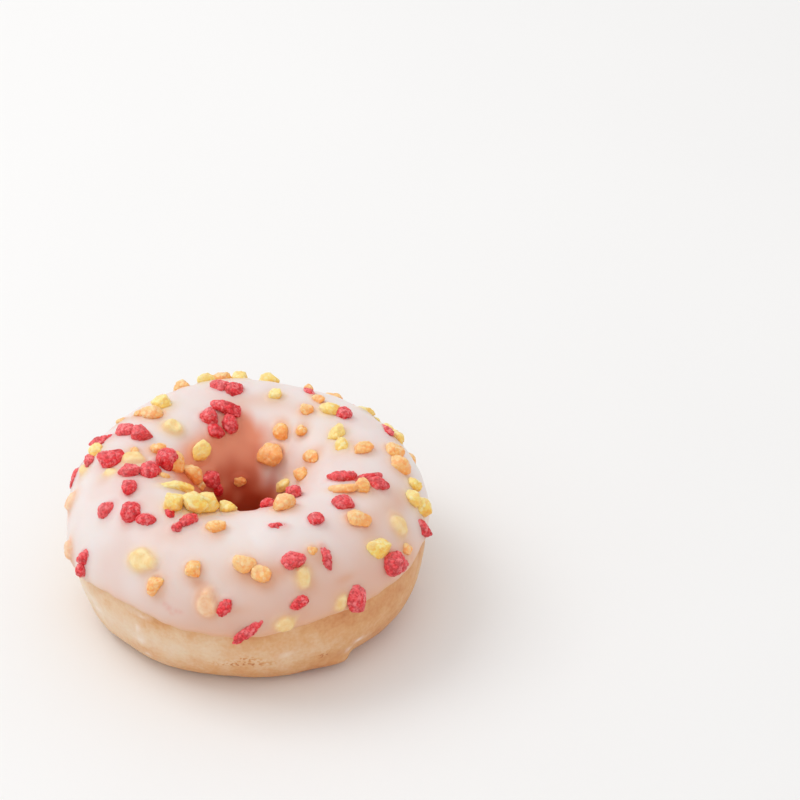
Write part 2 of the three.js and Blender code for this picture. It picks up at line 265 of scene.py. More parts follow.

# %% [markdown]
# ## How brown each place is, with some painted shade
#
# Both faces lay in the oil and are golden brown. The belt between them stayed above it and is pale, less so
# at the right front. The right side is browner and the left paler. These side differences are partly
# browning and partly painted shade and painted light. So are two golden spots, one of them under the icing's
# edge at the front left. The hole's wall is darkest, and pales towards its foot. At the front, smears of
# icing and a few dark crumbs stick to the dough. A picture could be painted, but numbers on the points need
# no unwrapping.

# %% The dough's browning and painted shade
BELT_ANGLE, BELT_SPREAD, BELT_WEAK_AT, BELT_FADES = -20, 15, 45, 0.55
BROWN_GOLDEN, BROWN_BELT, BROWN_FOOT, BROWN_THROAT = 0.46, -0.28, 0.1, 0.54
FOOT_BROWNS, THROAT_BROWNS, THROAT_PALES, THROAT_EBBS = (45, 85), (120, 200), (225, 268), 0.8
BROWN_AND_SHADE_SIDES, BROWN_AND_SHADE_SIDE_AT = 0.15, 75
BROWN_PATCHES = ((0.0455, 6.5), (0.0245, 1.6))  # height and size
SMEARS_EVEN, SMEARS_RAGGED = 0.6, ((0.5, 0.9),)
# A spot: its azimuth, its angle across, its reach along and across in degrees, its strength.
# Golden spots, partly browning and partly painted shade: under the icing's edge at the front left, and on
# the right front's belt.
GOLD_AND_SHADE_SPOTS = [[-30, 2, 5.5, 3.5, 0.22], [45, -10, 14, 12, 0.06]]
SMEARS = [
    [-40.5, 3.5, 1.4, 1.6, 1.1], [-36, 3, 2.0, 1.8, 1.2], [-38.5, -11, 1.3, 4, 0.8],
    [-38.5, -22, 1.7, 5, 1.0], [-38, -42, 1.6, 4, 0.7], [38, -32, 2.5, 3, 1.0], [33, -39, 2.2, 3, 1.0],
    [10, -20, 2.5, 2.5, 0.8], [-60, -20, 3, 6, 0.8],
]
CRUMBS = [[-7, -29, 5, 3.5, 1], [2, -28.5, 5, 3.2, 1], [-2, -22, 4, 2.5, 1], [24, -33, 3, 3, 1]]


def soft_spots(azimuth, across, spots):
    """The strengths of these spots, each fading softly from its middle."""
    total = 0
    for at, over, wide, high, strong in spots:
        total = total + strong * bell(degrees_from(azimuth, at), wide) * bell(across - over, high)
    return total


def browning_and_shade(azimuth, across, points):
    """From 0, pale, through 0.5, golden, to 1, deep brown."""
    belt = bell(across - BELT_ANGLE, BELT_SPREAD)
    # The belt is less pale towards the right front: partly browning, partly painted shade.
    belt = belt * (1 - BELT_FADES * np.clip(np.cos(np.radians(azimuth - BELT_WEAK_AT)), 0, 1))
    foot = step_up(-across, *FOOT_BROWNS)
    throat = step_up(across, *THROAT_BROWNS) * (1 - THROAT_EBBS * step_up(across, *THROAT_PALES))
    even = BROWN_GOLDEN + BROWN_BELT * belt + BROWN_FOOT * foot + BROWN_THROAT * throat
    # Browner on the right and paler on the left: partly browning, partly painted shade and painted light.
    sides = BROWN_AND_SHADE_SIDES * np.cos(np.radians(azimuth - BROWN_AND_SHADE_SIDE_AT)) * (across < 90)
    patches = mixed_lumps(points, BROWN_PATCHES, 11)
    return even + sides + patches + soft_spots(azimuth, across, GOLD_AND_SHADE_SPOTS)


slice_angles = np.concatenate([SLICE_ANGLES, np.full(FOOT_STEPS, -90.0)])[None, :]
browned = browning_and_shade(azimuths, slice_angles, dough_rings)
ragged = SMEARS_EVEN + mixed_lumps(dough_rings, SMEARS_RAGGED, 13)
keep_on_points(dough, "browning_and_shade", browned)
keep_on_points(dough, "smears", ragged * soft_spots(azimuths, slice_angles, SMEARS))
keep_on_points(dough, "crumbs", soft_spots(azimuths, slice_angles, CRUMBS))
print("browning from", browned.min().round(2), "to", browned.max().round(2))

# %% [markdown]
# ## Where the nibs fell
#
# Sugar nibs are crushed sugar lumps: no two are alike, and they fall in little rows and heaps. Strewing them
# all at random is quick but loses the heaps, so these lists hold the rows that the doughnut shows. A row
# gives its azimuth, its angle across, its heading, a letter for each nib, their length, and for some how far
# they are raised, or sunk if below 0. R is red, O orange and Y yellow, and a small letter is a small nib. A
# chunk is stout, a sliver is narrow, and a sunken nib lies deep in the icing.

# %% The rows of nibs
NIB_COUNT = 142
SMALL_SHARE = 0.62
LENGTH_SPREAD = [1.0, 1.12]
# Breadths are shares of the length, depths of the breadth, raises of half the depth.
CHUNK = {"breadths": [0.68, 0.94], "raises": [0.0, 0.5]}
SLIVER = {"breadths": [0.34, 0.5], "raises": [0.0, 0.5]}
SUNK = {"breadths": [0.6, 0.8], "raises": [-0.5, -0.25]}
NIB_DEPTH = [0.74, 0.96]
NIB_TIP, NIB_STRAY = 12, 14  # degrees
SEED = 20
LEFT_CHUNKS = [
    [-112, 80, 72, "RR", 3.8], [-138, 78, -60, "Y", 3.5], [-129, 76, -80, "Oo", 3.8, 0.3],
    [-126, 101, -79, "Y", 3.9, -0.7], [-125, 55, 70, "o", 2.8], [-104, 53, 48, "Y", 2.8],
    [-93, 71, 65, "R", 4.4], [-99, 50, 85, "r", 3.8], [-91, 86, 68, "Y", 4.6, -0.6],
    [-98, 87, 60, "o", 3.2], [-102, 102, -60, "O", 2.8], [-90, 109, 60, "R", 3.9, 0.2],
    [-96, 124, 95, "OO", 4.0], [-81, 84, 70, "R", 3.8], [-78, 98, 110, "R", 3.8],
    [-75, 108, -75, "o", 3.4], [-69, 80, -50, "R", 3.6], [-66, 58, -64, "r", 5.2],
    [-56, 69, -58, "R", 4.3], [-48, 72, 37, "R", 3.3], [-89, 27, 90, "O", 4.2, -0.7],
    [-75, 8, -85, "O", 3.6, -0.6], [-172, 83, -28, "RR", 3.2], [-172, 57, 0, "YOY", 3.4],
    [128, 83, 20, "RY", 3.4], [141, 96, 60, "o", 3.6], [-64, 14, 85, "RR", 3.0], [163, 90, 40, "y", 4.0],
]
HOLE_CHUNKS = [
    [-153, 108, -25, "R", 3.7], [-152, 119, -79, "R", 3.7], [-167, 117, 77, "R", 3.8, 0.2],
    [-127, 127, 18, "Y", 4.2, 0.3], [-122, 151, -75, "rR", 3.8], [-44, 92, -40, "Y", 3.8, 0.4],
    [-33, 99, 60, "Y", 4.9, 0.4], [-29, 104, 60, "Y", 5.0, 0.6], [-16, 113, 0, "y", 5.0, 0.1],
    [-96, 143, -40, "o", 3.0], [-42, 86, -28, "r", 4.2], [-32, 82, 65, "rR", 3.7],
    [-17, 86, 13, "O", 3.3], [148, 118, -30, "O", 3.4], [132, 113, -47, "o", 3.6],
    [148, 136, 44, "O", 4.9, 0.2], [101, 120, 20, "O", 3.0], [-168, 156, 0, "o", 3.2],
    [41, 115, 45, "R", 2.9, 0.4], [111, 151, 57, "Y", 3.2, 0.4], [23, 103, -20, "O", 4.0],
    [17, 116, -20, "r", 4.4, 0.2],
]
RIGHT_CHUNKS = [
    [70, 70, -80, "R", 3.2], [64, 78, 25, "O", 2.8], [50, 80, -50, "R", 3.7], [32, 79, -18, "R", 2.8],
    [48, 65, -34, "O", 3.8], [110, 96, 150, "Y", 3.4], [98, 97, 0, "y", 4.2], [93, 84, -75, "O", 3.0],
    [111, 45, 0, "Y", 3.0], [92, 58, 194, "OO", 4.0], [83, 43, 84, "y", 4.2], [77, 35, -64, "YY", 3.9],
    [48, 39, -30, "Y", 4.1], [51, 24, 64, "R", 4.8, 0.2], [59, 24, -31, "o", 4.6],
    [56, 17, -24, "r", 3.6], [90, 133, 20, "O", 3.2],
]
FRONT_CHUNKS = [
    [24, 58, 0, "o", 3.0], [16, 54, 12, "R", 3.9, 0.2], [1, 52, -35, "OO", 3.5], [-20, 50, 24, "O", 2.8],
    [-8, 27, 60, "R", 2.8], [-32, 33, 68, "O", 3.5], [15, 25, 25, "R", 3.0], [34, 14, -88, "R", 4.5],
]
CHUNKS = LEFT_CHUNKS + HOLE_CHUNKS + RIGHT_CHUNKS + FRONT_CHUNKS
SLIVERS = [
    [-168, 105, -31, "R", 5.3, 0.4], [-62, 112, 75, "Y", 6.2, 0.3], [-111, 55, 80, "R", 5.2],
    [-102, 28, -35, "R", 4.8], [58, 88, 108, "O", 4.4, 0.3], [69, 86, -68, "RR", 4.7, 0.2],
    [-1, 8, 35, "R", 5.8], [28, 51, 80, "R", 4.3], [14, 84, -12, "R", 3.0], [146, 76, -30, "OR", 3.5],
    [113, 52, 4, "R", 3.9], [73, 19, -70, "R", 4.5, 0.2],
]
SUNKEN = [
    [-40, 45, 9, "Y", 5.5], [-14, 28, -83, "O", 4.9], [10, 12, 9, "Y", 4.2], [29, 16, 70, "Y", 3.6],
    [18, 43, 77, "Y", 4.0], [61, 41, 80, "Y", 4.2], [-85, 70, 60, "y", 4.0], [-97, 44, 40, "y", 4.4],
]
ROW_PITCH = 0.8  # of the row's mean length

print("rows of nibs:", len(CHUNKS + SLIVERS + SUNKEN))

# %% [markdown]
# A nib lies on the icing, so the icing's surface comes first. It is thickest on the crest and thins towards
# its two edges, one round the outside and one down in the hole. One formula serves the nibs and, later, the
# icing.

# %% The icing's thickness and edges
ICING_TOP = 1.15
ICING_EDGE = 0.55
ICING_FALL = 0.8
ICING_GAP = 0.25
ICING_OUTER_EDGE = 3.2
OUTER_EDGE_WAVES = [[4.1, 1, 83], [2.1, 2, 8], [2.8, 3, -44], [2.1, 4, -37], [2.8, 5, 21]]
ICING_INNER_EDGE = 189
INNER_EDGE_WAVES = [[4, 2, 35], [2.5, 3, 10]]
ICING_WAVES = [[0.09, 3, 20], [0.07, 5, -35]]


def icing_lift(azimuth, across):
    """How far the icing's surface stands off the dough's."""
    fullness = np.sin(np.radians(np.clip(across, 0, 180))) ** ICING_FALL
    wavy = fullness * wave(azimuth + across, ICING_WAVES)
    return ICING_GAP + ICING_EDGE + (ICING_TOP - ICING_EDGE) * fullness + wavy


print("on the crest the icing stands off by", icing_lift(0, 90).round(2), "mm")

# %% [markdown]
# A nib needs a place, three sizes, a turn and a tilt. Blender can scatter copies over a surface, but the
# solid model has to hold the same nibs, so both take them from one simple source of draws, in the same
# order.

# %% Laying the nibs
def draws(seed):
    """Even draws from 0 to 1, the same for the same seed."""
    state = seed
    while True:
        state = (state * 1664525 + 1013904223) % 2**32
        yield state / 2**32


def between(limits, share):
    """The value at this share of the way."""
    return limits[0] + (limits[1] - limits[0]) * share


def walk(azimuth, across, heading, distance):
    """The place this many millimetres away, heading 0 along the ring and 90 towards the hole."""
    mm_per_across = math.hypot(*two_degrees(across)) / 2
    mm_per_azimuth = math.radians(float(section(across)[0]))
    along, over = distance * math.cos(math.radians(heading)), distance * math.sin(math.radians(heading))
    return azimuth + along / mm_per_azimuth, across + over / mm_per_across


def nib_place(azimuth, across):
    """Where a nib lies, and the directions along the ring, towards the hole and outwards."""
    turn = math.radians(azimuth)
    normal = flow(azimuth, across)
    along = np.array([math.cos(turn), math.sin(turn), 0])
    point = surface(azimuth, across, icing_lift(azimuth, across))
    return {"point": point, "along": along, "normal": normal, "over": np.cross(normal, along)}


def make_nib(place, letter, length, heading, manner, raised, draw):
    """A nib at this azimuth and angle across, its sizes and how it lies, by six draws."""
    breadth = length * between(manner["breadths"], next(draw))
    depth = breadth * between(NIB_DEPTH, next(draw))
    rise = between(manner["raises"], next(draw)) + raised
    turn = heading + NIB_STRAY * (2 * next(draw) - 1)
    tip = NIB_TIP * (2 * next(draw) - 1)
    lies = {"rise": rise, "turn": turn, "tip": tip, "seed": int(next(draw) * 2**31), **nib_place(*place)}
    return {"colour": letter.upper(), "length": length, "breadth": breadth, "depth": depth, **lies}


def length_of(letter, length, draw):
    """The length of a nib of this letter, near the given length."""
    return length * (1 if letter.isupper() else SMALL_SHARE) * between(LENGTH_SPREAD, next(draw))


print("a place on the crest:", nib_place(0.0, 90.0)["point"].round(2))

# %% [markdown]
# First come the rows. Then a rule strews the rest over the far side, which the picture doesn't show: clear
# of the others, more of them far out on the ring, where there is more icing, and some with a twin beside
# them.

# %% The rows and the strewn nibs
STREWN_AROUND, STREWN_ACROSS = [112, 215], [8, 42]
STREWN_LENGTH = [3.0, 4.4]
STREWN_CLEAR = 4
RED_SHARE, ORANGE_SHARE = 0.4, 0.32
LARGE_SHARE, SLIVER_SHARE, TWIN_SHARE = 0.6, 0.2, 0.35
MOST_TRIES = 6000


def lay_rows(rows, manner, draw):
    """The nibs of these rows, spread evenly about each row's middle."""
    laid = []
    for azimuth, across, heading, letters, length, *raised in rows:
        lengths = [length_of(letter, length, draw) for letter in letters]
        pitch = ROW_PITCH * sum(lengths) / len(lengths)
        for k, letter in enumerate(letters):
            place = walk(azimuth, across, heading, (k - (len(letters) - 1) / 2) * pitch)
            laid.append(make_nib(place, letter, lengths[k], heading, manner, sum(raised), draw))
    return laid


def strew_nibs(laid, draw):
    """Adds strewn nibs to those laid, up to the full count."""
    for _ in range(MOST_TRIES):
        if len(laid) >= NIB_COUNT:
            break
        place = between(STREWN_AROUND, next(draw)), between(STREWN_ACROSS, next(draw))
        kept = next(draw) < section(place[1])[0] / OUTER_RADIUS
        point = nib_place(*place)["point"]
        crowded = any(np.linalg.norm(nib["point"] - point) < STREWN_CLEAR for nib in laid)
        if not kept or crowded:
            continue
        pick = next(draw)
        colour = "R" if pick < RED_SHARE else "O" if pick < RED_SHARE + ORANGE_SHARE else "Y"
        letter = colour if next(draw) < LARGE_SHARE else colour.lower()
        manner = SLIVER if next(draw) < SLIVER_SHARE else CHUNK
        heading = 360 * next(draw)
        usual = between(STREWN_LENGTH, next(draw))
        length = length_of(letter, usual, draw)
        laid.append(make_nib(place, letter, length, heading, manner, 0, draw))
        if next(draw) < TWIN_SHARE:
            twin_length = length_of(letter, usual, draw)
            beside = walk(*place, heading, ROW_PITCH * (length + twin_length) / 2)
            laid.append(make_nib(beside, letter, twin_length, heading, manner, 0, draw))
    return laid


nib_draw = draws(SEED)
nibs = []
for rows, manner in ((CHUNKS, CHUNK), (SLIVERS, SLIVER), (SUNKEN, SUNK)):
    nibs += lay_rows(rows, manner, nib_draw)
nibs = strew_nibs(nibs, nib_draw)
counts = {colour: sum(nib["colour"] == colour for nib in nibs) for colour in "ROY"}
print("nibs laid:", len(nibs), counts)

# %% [markdown]
# Each nib gets its own directions: the long, the broad and the high one. Orange and yellow nibs that lie
# deepest have a film of icing over them, and will show as soft mounds of the icing instead.

# %% How each nib lies
FILMED_BELOW = -0.05

for nib in nibs:
    turn, tip = math.radians(nib["turn"]), math.radians(nib["tip"])
    level = nib["along"] * math.cos(turn) + nib["over"] * math.sin(turn)
    nib["long"] = level * math.cos(tip) + nib["normal"] * math.sin(tip)
    nib["high"] = nib["normal"] * math.cos(tip) - level * math.sin(tip)
    nib["broad"] = np.cross(nib["long"], nib["high"])
    nib["middle"] = nib["point"] + nib["normal"] * nib["rise"] * nib["depth"] / 2
    nib["filmed"] = nib["rise"] < FILMED_BELOW and nib["colour"] != "R"
print("nibs under a film of icing:", sum(nib["filmed"] for nib in nibs))

# %% [markdown]
# ## The icing
#
# Set icing is a thin shell with a rounded edge. A thickened sheet would have a square one, so our slice
# runs from the outer edge over the crest to the edge in the hole, and comes back under the dough's skin,
# with more points near the edges. These wander a little more than in the solid model, as runny icing does.

# %% The icing's slices
ICING_STEPS = 440
EDGE_OFFSETS = np.array([0, 0.12, 0.35, 0.75, 1.3, 2.0, 2.9])
MIDDLE_POINTS = 160
UNDER_POINTS = 24
EDGE_WIDTH = 1.15
UNDER_DEPTH = 0.9
EDGE_WANDERS = ((0.78, 4.5), (0.52, 1.7))
INNER_WANDERS_MORE = 2.5


def edge_wander(azimuth, radius, seed):
    """Small bends of an edge of this radius, in degrees across."""
    turn = np.radians(azimuth)
    circle = radius * np.stack([np.sin(turn), np.cos(turn), 0 * turn], axis=-1)
    return mixed_lumps(circle, EDGE_WANDERS, seed)


around = np.arange(0, 360, 360 / ICING_STEPS)
outer_wander = edge_wander(around, OUTER_RADIUS, 21)
inner_wander = INNER_WANDERS_MORE * edge_wander(around, THROAT_RADIUS, 31)
outer_edge = (ICING_OUTER_EDGE + wave(around, OUTER_EDGE_WAVES) + outer_wander)[:, None]
inner_edge = (ICING_INNER_EDGE + wave(around, INNER_EDGE_WAVES) + inner_wander)[:, None]
first = outer_edge + EDGE_OFFSETS[None, :]
last = inner_edge - EDGE_OFFSETS[None, ::-1]
share = np.linspace(0, 1, MIDDLE_POINTS + 2)[None, 1:-1]
icing_across = np.concatenate([first, first[:, -1:] + (last[:, :1] - first[:, -1:]) * share, last], axis=1)
icing_azimuth = np.broadcast_to(around[:, None], icing_across.shape)
print("outer edge, across:", outer_edge.min().round(1), "to", outer_edge.max().round(1))

# %% [markdown]
# Icing climbs a nib in a small curve, as water does at a glass. A simulation could find it, but a rule does:
# we measure how far each icing point is from a nib's outline, raise the points close by, and note a coloured
# halo there, partly dye that crept into the icing and partly painted glow of light passing through the nib.
# Over a filmed nib the icing rises as a lumpy mound that shows some of its colour.

# %% Icing drawn up round the nibs
CLIMB_HEIGHT, CLIMB_REACH = 0.3, 0.6
FILM, FILM_HIDES = 0.1, 0.6
MOUND_REACH, MOUND_SLOPE = 1.12, 0.5  # shares of the way to a nib's outline
FILM_GRAIN_SIZE, FILM_GRAIN = 0.9, 0.14
FILM_RAGGED_SIZE, FILM_RAGGED = 1.5, 0.16
# The halos are partly dye that crept into the icing and partly painted glow of light passing through the
# nibs.
HALO_REACH = {"R": 0.36, "O": 0.7, "Y": 0.6}
NIB_NEIGHBOURHOOD = 7.0


def nib_distance(points, nib):
    """Millimetres beyond the nib's outline, and the share of the way there from its middle."""
    offset = points - nib["point"]
    long_share = offset @ nib["long"] / (nib["length"] / 2)
    broad_share = offset @ nib["broad"] / (nib["breadth"] / 2)
    share = np.hypot(long_share, broad_share)
    return (share - 1) * (nib["length"] + nib["breadth"]) / 4, share


icing_base = surface(icing_azimuth, icing_across)
icing_normal = flow(icing_azimuth, icing_across)
plain_lift = icing_lift(icing_azimuth, icing_across)
level_points = icing_base + plain_lift[..., None] * icing_normal
drawn_up = np.zeros(icing_across.shape)
halo = {colour: np.zeros(icing_across.shape) for colour in "ROY"}
film = {colour: np.zeros(icing_across.shape) for colour in "OY"}
for nib in nibs:
    near = np.linalg.norm(level_points - nib["point"], axis=-1) < NIB_NEIGHBOURHOOD
    outside, share = nib_distance(level_points[near], nib)
    outside = np.maximum(outside, 0)
    rise = CLIMB_HEIGHT * bell(outside, CLIMB_REACH)
    tint = np.exp(-outside / HALO_REACH[nib["colour"]])
    if nib["filmed"]:
        top = nib["depth"] / 2 * (1 + nib["rise"]) + FILM
        ragged = share * (1 + FILM_RAGGED * lumps(level_points[near], FILM_RAGGED_SIZE, 63))
        mound = step_up(MOUND_REACH - ragged, 0, MOUND_SLOPE)
        grain = FILM_GRAIN * mound * lumps(level_points[near], FILM_GRAIN_SIZE, 61)
        rise = np.maximum(rise, top * mound + grain)
        showing = 1 + FILM_HIDES * nib["rise"]
        film[nib["colour"]][near] = np.maximum(film[nib["colour"]][near], mound * showing)
    drawn_up[near] = np.maximum(drawn_up[near], rise)
    halo[nib["colour"]][near] = np.maximum(halo[nib["colour"]][near], tint)
print("icing drawn up by at most", drawn_up.max().round(2), "mm")

# %% [markdown]
# Now the lift is complete: the plain thickness, rounded off at both edges, with slow runs, ripples and the
# curves round the nibs. It follows the dough's swellings a trace deeper, so that its edges close on the
# dough.

# %% The icing's mesh
RUNS, RIPPLES = (0.1, 9.0), (0.02, 2.6)  # height and size
SET_DEEPER = 0.03
MM_PER_DEGREE = 0.25  # across, near both edges


def rounded(distance):
    """The share of full height at this distance from an edge, a quarter circle over the edge's width."""
    left = 1 - np.clip(distance / EDGE_WIDTH, 0, 1)
    return np.sqrt(1 - left**2)


from_outer = (icing_across - outer_edge) * MM_PER_DEGREE
from_inner = (inner_edge - icing_across) * MM_PER_DEGREE
waves = mixed_lumps(icing_base, (RUNS, RIPPLES), 41)
icing_height = rounded(from_outer) * rounded(from_inner) * (plain_lift + waves + drawn_up)
icing_height += dough_relief(icing_base) - SET_DEEPER
icing_skin = icing_base + icing_height[..., None] * icing_normal
under_across = inner_edge + (outer_edge - inner_edge) * np.linspace(0, 1, UNDER_POINTS)[None, :]
icing_under = surface(around[:, None], under_across, -UNDER_DEPTH)
icing = closed_ring("icing_shell", np.concatenate([icing_skin, icing_under], axis=1))

# %% [markdown]
# ## Where the icing is thin, and its painted shade
#
# White icing hides the dough only where it is thick. In a band above its lower edge, most of all at the
# front, in a few patches, and below each nib, where it ran off, the fried dough warms it to beige, and its
# very edge looks like dough. The band is also painted shade and warm bounce light at the lower front, and
# the patch below each nib is also its painted shadow. A few spots are painted shade from a doughnut that
# stood behind, and others near nibs are partly painted glow. A see-through material would need the true
# thickness, so a number says it instead, with the painted shade in it.

# %% The icing's thin places and painted shade
THIN_RIM, THIN_RIM_REACH = 0.3, 1.6
# The band is partly thin icing and partly painted shade and warm bounce light, strongest at the lower front.
THIN_AND_SHADE_BAND, THIN_AND_SHADE_BAND_REACH = 0.84, 10.5
THIN_AND_SHADE_FRONT_AT, THIN_AND_SHADE_FRONT_FADE = 17, (0.45, 0.97)
THIN_AND_SHADE_AT_BACK = 0.12
THIN_PATCHES, THIN_PATCH_PARTS, THIN_PATCH_FADE = 0.12, ((1, 8.5), (0.35, 3.0)), (0.1, 1.0)
SPOTS_UNEVEN = ((0.3, 3.0),)
# The spots at azimuth 172 and 100 are painted shade from a doughnut that stood behind. The others are thin
# places, and those near nibs are partly painted glow of light through them.
THIN_AND_SHADE_SPOTS = [
    [6, 49, 18, 8, 0.36], [68, 54, 20, 12, 0.48], [-36, 68, 20, 10, 0.24], [22, 32, 14, 9, 0.22],
    [-52, 86, 16, 8, 0.18], [-16.5, 40.5, 3.5, 4, 0.35], [32, 32, 4, 3, 0.22], [-4, 25, 4, 4, 0.2],
    [100, 100, 24, 10, 0.22], [172, 97, 26, 9, 0.55], [-20, 54, 14, 6, 0.12], [-42, 78, 24, 9, 0.1],
    [8, 49, 14, 6, 0.12], [60, 64, 16, 9, 0.12],
]
# Below and to the right of each nib: partly icing that ran off, partly the nib's painted shadow.
RUN_OFF_AND_SHADOW = {"R": 0.14, "O": 0.42, "Y": 0.3}
RUN_OFF_AND_SHADOW_AWAY, RUN_OFF_AND_SHADOW_SIZE, RUN_OFF_AND_SHADOW_SIDEWAYS = 1.9, 1.5, 0.6


def towards(azimuth, at, fade):
    """1 near the azimuth `at`, fading as the cosine between falls through `fade`."""
    return step_up(np.cos(np.radians(azimuth - at)), *fade)


# Weighted to the front, where the band is partly painted shade and warm bounce light.
front = THIN_AND_SHADE_AT_BACK + (1 - THIN_AND_SHADE_AT_BACK) * towards(icing_azimuth, THIN_AND_SHADE_FRONT_AT, THIN_AND_SHADE_FRONT_FADE)
thin_and_shade = THIN_AND_SHADE_BAND * front * bell(from_outer, THIN_AND_SHADE_BAND_REACH)
thin_and_shade += THIN_RIM * np.exp(-from_outer / THIN_RIM_REACH)
thin_and_shade += THIN_PATCHES * step_up(mixed_lumps(icing_base, THIN_PATCH_PARTS, 51), *THIN_PATCH_FADE)
uneven = 1 + mixed_lumps(icing_base, SPOTS_UNEVEN, 53)
thin_and_shade += uneven * soft_spots(icing_azimuth, icing_across, THIN_AND_SHADE_SPOTS)
for nib in nibs:
    # Down the slope and to the right, where each nib's painted shadow falls.
    downhill_and_shadow_way = RUN_OFF_AND_SHADOW_SIDEWAYS * nib["along"] - nib["over"]
    below = nib["point"] + RUN_OFF_AND_SHADOW_AWAY * downhill_and_shadow_way / np.linalg.norm(downhill_and_shadow_way)
    away = np.linalg.norm(level_points - below, axis=-1)
    thin_and_shade += RUN_OFF_AND_SHADOW[nib["colour"]] * bell(away, RUN_OFF_AND_SHADOW_SIZE)
print("thin share of the icing:", (thin_and_shade > 0.5).mean().round(2))

# %% [markdown]
# ## Down the hole
#
# Icing slides down the hole's wall and leaves little behind, so the wall turns from white to warm brown,
# then to the throat's dark brown. It stays white further down on the right, partly as icing and partly as
# painted light. At the far side the brown starts higher up and has a darker spot, both painted shade. It is
# paler at the near side. One number says the warm brown, and another the dark one, which is cloudy like any
# wet film.

# %% The hole's wall
# The right wall stays white further down: partly icing left there, partly painted light on that lit wall.
WHITE_AT, WHITE_FADES, WHITE_FADES_DOWN, WHITE_SHARE = 105, (43, 67), (147, 167), 0.93
WALL_BROWNS = (106, 127)
# The brown starts higher at the far side as painted shade.
WALL_RAISED, WALL_RAISED_AT, WALL_RAISED_FADE = 11, -172, (0.95, 1.0)
WALL_PALER, WALL_PALER_FADE = 0.35, (0.3, 0.8)
DEEP_BROWNS, DEEP_LOWER_ON_WHITE, DEEP_CLOUDS = (134, 169), 12, ((7, 2.4),)
# The first spot is painted shade and red glow below the red nibs. The other two make the dark brown lighter.
DEEP_SPOTS = [[-177, 119, 9, 8, 0.28], [158, 152, 14, 8, -0.3], [176, 154, 9, 6, -0.3]]

lit_white_side = 1 - step_up(np.abs(degrees_from(icing_azimuth, WHITE_AT)), *WHITE_FADES)
raised = WALL_RAISED * towards(icing_azimuth, WALL_RAISED_AT, WALL_RAISED_FADE)
wall = step_up(icing_across + raised, *WALL_BROWNS)
wall *= 1 - WHITE_SHARE * lit_white_side * (1 - step_up(icing_across, *WHITE_FADES_DOWN))
wall *= 1 - WALL_PALER * towards(icing_azimuth, 0, WALL_PALER_FADE)
clouds = mixed_lumps(icing_base, DEEP_CLOUDS, 54)
deep = step_up(icing_across - DEEP_LOWER_ON_WHITE * lit_white_side + clouds, *DEEP_BROWNS)
deep += soft_spots(icing_azimuth, icing_across, DEEP_SPOTS)
print("warm brown and dark shares:", (wall > 0.5).mean().round(2), (deep > 0.5).mean().round(2))

# %% [markdown]
# A few specks of red dye at the front join the halos, and every number goes onto the icing's points. The
# part of each slice under the dough's skin never shows, so it gets one plain value.

# %% The icing's numbers
EDGE_REACH = 0.7
COLOURS = {"R": "red", "O": "orange", "Y": "yellow"}
# A speck: its azimuth, its angle across, its size.
DYE_SPECKS = [[-27.5, 21.5, 0.5], [-26, 19.5, 0.65], [-23.5, 18.5, 0.5], [-22, 18.5, 0.4], [-25, 16, 0.4]]

for azimuth, across, size in DYE_SPECKS:
    away = np.linalg.norm(level_points - surface(azimuth, across, ICING_GAP + ICING_EDGE), axis=-1)
    halo["R"] = np.maximum(halo["R"], bell(away, size))
brown = {"thin_and_shade": thin_and_shade, "edge": np.exp(-from_outer / EDGE_REACH), "wall": wall, "deep": deep}
dyed = {f"{COLOURS[letter]}_halo": values for letter, values in halo.items()}
dyed |= {f"{COLOURS[letter]}_film": values for letter, values in film.items()}
for under, numbers in ((1, brown), (0, dyed)):
    for name, values in numbers.items():
        padded = np.pad(np.clip(values, 0, 1), ((0, 0), (0, UNDER_POINTS)), constant_values=under)
        keep_on_points(icing, name, padded)
print("kept on the icing:", *brown, *dyed)

# %% [markdown]
# ## A nib's shape
#
# A sugar nib is a pebble with a few broken flats, covered in crystals about half a millimetre wide.
# Blender's round ball has pinched poles, where points crowd, so we blow up a cube to an even sphere.

# %% A ball made from a cube
BALL_CELLS = 15


def cube_ball(cells):
    """The points and faces of a unit ball, from a cube with cells by cells squares on each side."""
    ticks = np.tan(np.linspace(-np.pi / 4, np.pi / 4, cells + 1))
    u, v = [grid.ravel() for grid in np.meshgrid(ticks, ticks, indexing="ij")]
    corner = (np.arange(cells)[:, None] * (cells + 1) + np.arange(cells)[None, :]).ravel()
    square = np.stack([corner, corner + cells + 1, corner + cells + 2, corner + 1], axis=1)
    points, faces = [], []
    for axis in range(3):
        for side in (-1, 1):
            face = np.full((len(u), 3), float(side))
            face[:, (axis + 1) % 3] = u
            face[:, (axis + 2) % 3] = v
            faces.append((square if side > 0 else square[:, ::-1]) + len(points) * len(u))
            points.append(face)
    joined = np.concatenate(points)
    _, first, back = np.unique(np.round(joined, 6), axis=0, return_index=True, return_inverse=True)
    ball = joined[first] / np.linalg.norm(joined[first], axis=1)[:, None]
    return ball, back.reshape(-1)[np.concatenate(faces)]


ball_points, ball_faces = cube_ball(BALL_CELLS)
print("a nib starts as", len(ball_points), "points and", len(ball_faces), "faces")

# %% [markdown]
# Random planes shave flats on the ball, with sharper corners the higher the power. Then each point belongs
# to the nearest crystal's centre, stands in a small dome round it, and slants as that crystal does.
# Sculpting gives one good nib, but a rule gives a hundred, no two alike.

# %% One nib
FLATS = 14
FLAT_DISTANCES = [0.78, 1.0]
CORNER_SHARPNESS = {"R": 9, "O": 9, "Y": 14}
CORNER_LIMIT = {"R": 1.2, "O": 1.22, "Y": 1.2}
